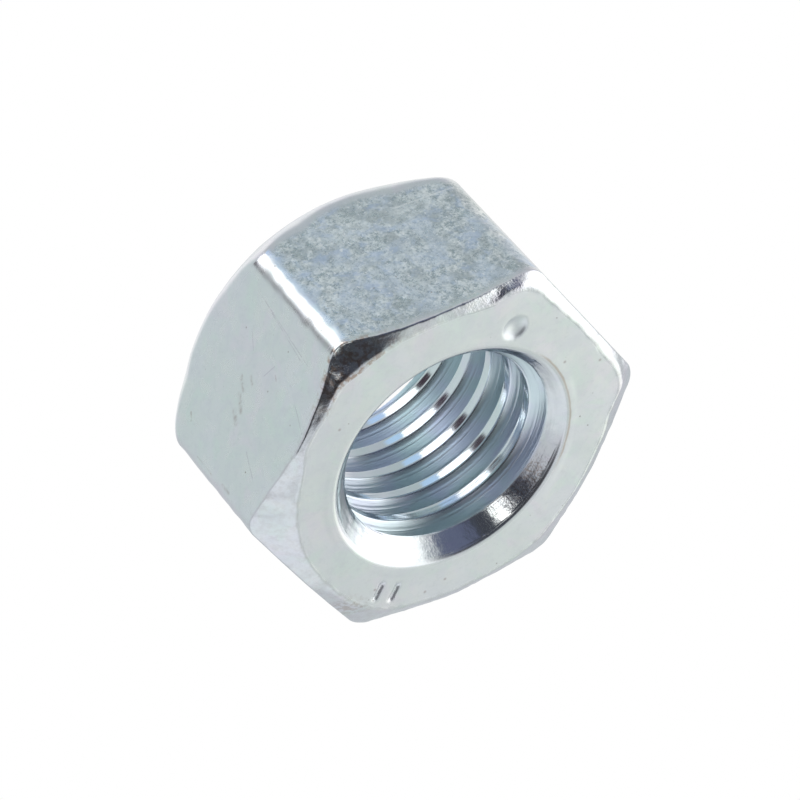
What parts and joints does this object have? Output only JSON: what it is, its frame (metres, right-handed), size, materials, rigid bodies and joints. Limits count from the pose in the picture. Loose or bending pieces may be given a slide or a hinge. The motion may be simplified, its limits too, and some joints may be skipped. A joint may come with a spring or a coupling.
{
  "type": "hex nut",
  "caption": "Plain hexagon nut with a right-hand coarse metric thread, chamfered corners on both faces and a countersunk bore, in bright zinc-plated steel.",
  "frame": {"origin": "centre of the lower bearing face, on the thread axis", "axes": "+Z along the thread axis, out of the marked upper bearing face; +X through one corner of the hexagon"},
  "size_m": [0.0204, 0.018, 0.0105],
  "materials": {
    "zinc_plated_steel": "bright zinc plated, blue-white passivated, forged faces, satin"
  },
  "bodies": {
    "root": {"hex_nut": "zinc_plated_steel"}
  },
  "joints": []
}
